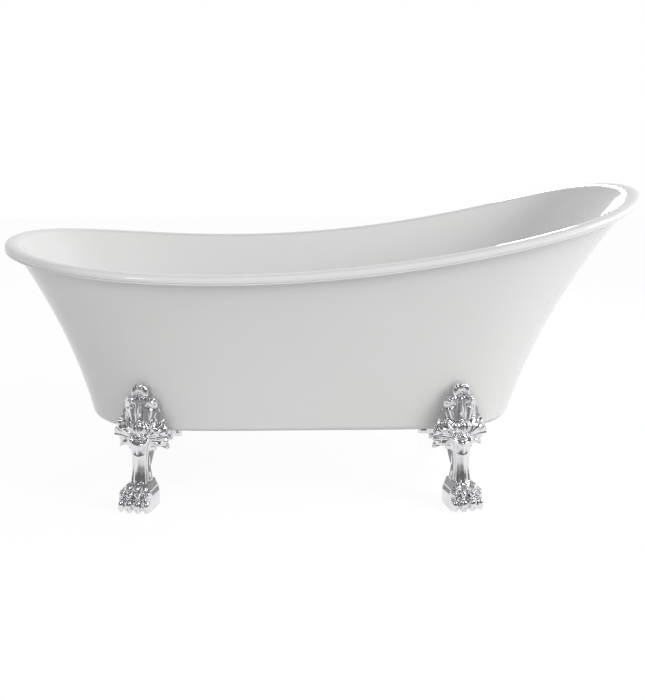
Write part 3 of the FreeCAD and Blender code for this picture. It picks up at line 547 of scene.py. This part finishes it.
def strokeDistance(points, x, z):
    best = np.full(len(x), 1e9)
    for (x0, z0), (x1, z1) in zip(points, points[1:]):
        dx, dz = x1 - x0, z1 - z0
        share = np.clip(((x - x0) * dx + (z - z0) * dz) / (dx * dx + dz * dz), 0, 1)
        best = np.minimum(best, np.hypot(x - x0 - share * dx, z - z0 - share * dz))
    return best


# shares that are 0 up to start and 1 from start + distance
def shareOver(values, start, distance):
    return np.clip((values - start) / distance, 0, 1)


def carve(mesh):
    count = len(mesh.vertices)
    spots, ways = np.zeros(count * 3), np.zeros(count * 3)
    mesh.vertices.foreach_get("co", spots)
    mesh.vertex_normals.foreach_get("vector", ways)
    spots, ways = spots.reshape(-1, 3) * 1000, ways.reshape(-1, 3)
    x, y, z = np.abs(spots[:, 0]), spots[:, 1], spots[:, 2]
    bend = crestLean["back"] * shareOver(x, crestLean["fromX"], crestLean["overX"]) ** 2
    bend *= shareOver(z, crestLean["fromZ"], crestLean["overZ"])
    spots[:, 1] += bend * shareOver(-y, -foot["crestBack"], crestLean["fade"])
    front = np.clip(-ways[:, 1] * carved["gain"] - carved["start"], 0, 1) * (y < carved["behind"])
    sink = np.zeros(count)
    for points, width, depth in strokes:
        sink += depth * np.exp(-(strokeDistance(points, x, z) / width) ** 2)
    for (mx, mz), (rx, rz), depth in dents:
        sink += depth * np.exp(-(((x - mx) / rx) ** 2 + ((z - mz) / rz) ** 2) ** 1.5)
    spots -= ways * (sink * front)[:, None]
    side = np.clip(np.abs(ways[:, 0]) * flank["gain"] - flank["start"], 0, 1)
    side *= np.exp(-((y - flank["y"]) / flank["width"]) ** 4)
    side *= shareOver(z, flank["from"], flank["fade"]) * shareOver(-z, -flank["to"], flank["fade"])
    spots -= ways * (side * flank["depth"])[:, None]
    spots[:, 2] = np.maximum(spots[:, 2], foot["sole"])
    high = z > foot["wallStart"]
    spots[high, 1] = np.minimum(spots[high, 1], foot["crestBack"])
    mesh.vertices.foreach_set("co", (spots / 1000).ravel())
    mesh.update()


def makeFeet():
    bm = bmesh.new()
    bm.from_mesh(frame["nodes"]["claw_foot_near_low"].data)
    bmesh.ops.remove_doubles(bm, verts=bm.verts, dist=1e-6)
    bmesh.ops.transform(bm, matrix=footMatrix("near_low").inverted(), verts=bm.verts)
    for middle, size, lean in crestLobes + pawLobes:
        for side in ((1,) if middle[0] == 0 else (1, -1)):
            addLobe(bm, middle, size, lean, side)
    for leaf in crestLeaves:
        for side in (1, -1):
            addLeaf(bm, *leaf, side)
    casting = remeshed(bm, foot["voxel"])
    carve(casting)
    bm = bmesh.new()
    bm.from_mesh(casting)
    for _ in range(foot["softPasses"]):
        bmesh.ops.smooth_vert(bm, verts=bm.verts, factor=foot["soften"], use_axis_x=True, use_axis_y=True,
                              use_axis_z=True)
    bm.to_mesh(casting)
    bm.free()
    for name in footNames:
        bm = bmesh.new()
        bm.from_mesh(casting)
        bmesh.ops.transform(bm, matrix=footMatrix(name), verts=bm.verts)
        piece = newPiece("lionFoot_" + name, bm, "polished_chrome")
        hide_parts("claw_foot_" + name)
    print("one foot has", len(casting.polygons), "faces")
    bpy.data.meshes.remove(casting)


makeBasin()
makeSkirt()
print("tub made")
makeFeet()
print("feet made")


# fill is the world's light, front, behind and above are what a reflection sees of it
studio = {"fillSide": 1.07, "fillTop": 0.46, "fillLeft": -0.40, "fillRight": 0.06,
          "behind": 1.0, "front": 0.17, "above": 0.22, "horizon": 0.12, "ceiling": (0.55, 0.8)}
# a reflection sees the floor with painted shade, dimmer towards the camera, and a painted shadow under the
# bath, from one place to the other;
# the places of the painted shadow under the bath are squares of x and y
floorLook = {"size": 12.0, "tone": 0.64, "rough": 0.6, "glow": 0.8, "glowStrength": 1.13, "paintedShadeTone": 0.36,
             "paintedShadeFront": (-0.95, -0.42), "paintedShadowX": (0.25, 0.55), "paintedShadowY": (0.005, 0.03), "paintedShadowShare": 0.85}


# the surface glows white by the share that a ray sees
def mixedEmission(f, share, strength):
    glow = f.nodes.new("ShaderNodeEmission")
    glow.inputs["Strength"].default_value = strength
    blend = f.nodes.new("ShaderNodeMixShader")
    f.put(blend.inputs[0], share)
    f.links.new(f.shader.outputs[0], blend.inputs[1])
    f.links.new(glow.outputs[0], blend.inputs[2])
    f.links.new(blend.outputs[0], f.output.inputs["Surface"])


def floorFinish():
    f = Finish("studioFloor")
    gloss = f.add("ShaderNodeLightPath", out="Is Glossy Ray")
    across = f.add("ShaderNodeSeparateXYZ", None, f.place(), out="X")
    depth = f.add("ShaderNodeSeparateXYZ", None, f.place(), out="Y")
    # painted shadow under the bath, which only reflections see
    under = 1 - f.ramp(across * across, *floorLook["paintedShadowX"])
    under = under * (1 - f.ramp(depth * depth, *floorLook["paintedShadowY"]))
    # painted shade towards the camera, which only reflections see
    front = 1 - f.ramp(depth, *floorLook["paintedShadeFront"])
    paintedShade = gloss * f.op("MAXIMUM", front, under * floorLook["paintedShadowShare"])
    plain, paintedShadeColour = rgb(*[floorLook["tone"]] * 3), rgb(*[floorLook["paintedShadeTone"]] * 3)
    # the painted shade and shadow also darken the floor's own colour where reflections see it
    f.set(Base_Color=f.mix(paintedShade, plain, paintedShadeColour), Roughness=floorLook["rough"])
    seen = f.add("ShaderNodeLightPath", out="Is Camera Ray") + gloss - paintedShade
    mixedEmission(f, seen * floorLook["glow"], floorLook["glowStrength"])
    return f.material


def makeFloor():
    bm = bmesh.new()
    bmesh.ops.create_grid(bm, x_segments=2, y_segments=2, size=floorLook["size"] / 2)
    mesh = bpy.data.meshes.new("studioFloor")
    bm.to_mesh(mesh)
    bm.free()
    floor = bpy.data.objects.new("studioFloor", mesh)
    bpy.context.scene.collection.objects.link(floor)
    mesh.materials.append(floorFinish())


# soft fill for matt light; a reflection sees a white cloth behind the bath and a dim room in front
def lightWorld():
    world = bpy.data.worlds.new("studioWorld")
    bpy.context.scene.world = world
    world.use_nodes = True
    nodes, links = world.node_tree.nodes, world.node_tree.links

    def node(kind, **inputs):
        made = nodes.new(kind)
        for key, value in inputs.items():
            if isinstance(value, bpy.types.NodeSocket):
                links.new(value, made.inputs[key.replace("_", " ")])
            else:
                made.inputs[key.replace("_", " ")].default_value = value
        return made

    path = node("ShaderNodeLightPath")
    way = node("ShaderNodeSeparateXYZ", Vector=node("ShaderNodeTexCoord").outputs["Generated"])
    back = node("ShaderNodeMapRange", Value=way.outputs["Y"], From_Min=-studio["horizon"],
                From_Max=studio["horizon"], To_Min=studio["front"], To_Max=studio["behind"])
    top = node("ShaderNodeMapRange", Value=way.outputs["Z"], From_Min=studio["ceiling"][0],
               From_Max=studio["ceiling"][1], To_Min=0.0, To_Max=1.0)
    room = node("ShaderNodeMix", Factor=top.outputs[0], A=back.outputs[0], B=studio["above"])
    level = node("ShaderNodeMapRange", Value=way.outputs["Z"], To_Min=studio["fillSide"],
                 To_Max=studio["fillTop"])
    slope = node("ShaderNodeMapRange", Value=way.outputs["X"], From_Min=-1.0, To_Min=studio["fillLeft"],
                 To_Max=studio["fillRight"])
    fill = node("ShaderNodeMath")
    links.new(level.outputs[0], fill.inputs[0])
    links.new(slope.outputs[0], fill.inputs[1])
    gloss = node("ShaderNodeMix", Factor=path.outputs["Is Glossy Ray"], A=fill.outputs[0], B=room.outputs[0])
    seen = node("ShaderNodeMix", Factor=path.outputs["Is Camera Ray"], A=gloss.outputs[0], B=1.0)
    cloth = nodes["Background"]
    cloth.inputs["Color"].default_value = rgb(1, 1, 1)
    links.new(seen.outputs[0], cloth.inputs["Strength"])


# a broad key at the high end, a narrow strip in front, and a window behind that streaks the basin's low end
lamps = {
    "keyLamp": {"place": (2.8, -1.6, 2.1), "aim": (0.0, 0.0, 0.4), "size": (1.6, 1.6), "watts": 57},
    "stripLamp": {"place": (-1.1, -2.6, 1.7), "aim": (-0.2, -0.3, 0.3), "size": (0.25, 1.4), "watts": 12},
    "windowLamp": {"place": (0.9, 2.5, 1.35), "aim": (-0.6, 0.1, 0.5), "size": (0.35, 0.8), "watts": 13},
}


def addLamp(name, place, aim, size, watts):
    data = bpy.data.lights.new(name, "AREA")
    data.shape, data.size, data.size_y, data.energy = "RECTANGLE", size[0], size[1], watts
    thing = bpy.data.objects.new(name, data)
    bpy.context.scene.collection.objects.link(thing)
    thing.visible_camera = False
    thing.location = place
    thing.rotation_euler = (Vector(aim) - Vector(place)).to_track_quat("-Z", "Y").to_euler()


# angles in radians; the picture is 700 pixels high
cameraView = {"place": (-0.0712, -3.0, 1.0468), "pitch": 0.072, "yaw": 0.0241, "focalPixels": 1100.2,
              "centreRow": 168.7, "rows": 700, "sensor": 36.0}


def makeCamera():
    data = bpy.data.cameras.new("photoCamera")
    thing = bpy.data.objects.new("photoCamera", data)
    bpy.context.scene.collection.objects.link(thing)
    data.sensor_fit, data.sensor_height = "VERTICAL", cameraView["sensor"]
    data.lens = cameraView["focalPixels"] * cameraView["sensor"] / cameraView["rows"]
    data.shift_y = cameraView["centreRow"] / cameraView["rows"] - 0.5
    thing.location = cameraView["place"]
    thing.rotation_euler = (math.pi / 2 - cameraView["pitch"], 0, -cameraView["yaw"])
    bpy.context.scene.camera = thing


makeFloor()
lightWorld()
for lampName, values in lamps.items():
    addLamp(lampName, **values)
makeCamera()
bpy.context.scene.view_settings.view_transform = "Standard"
print("studio ready")
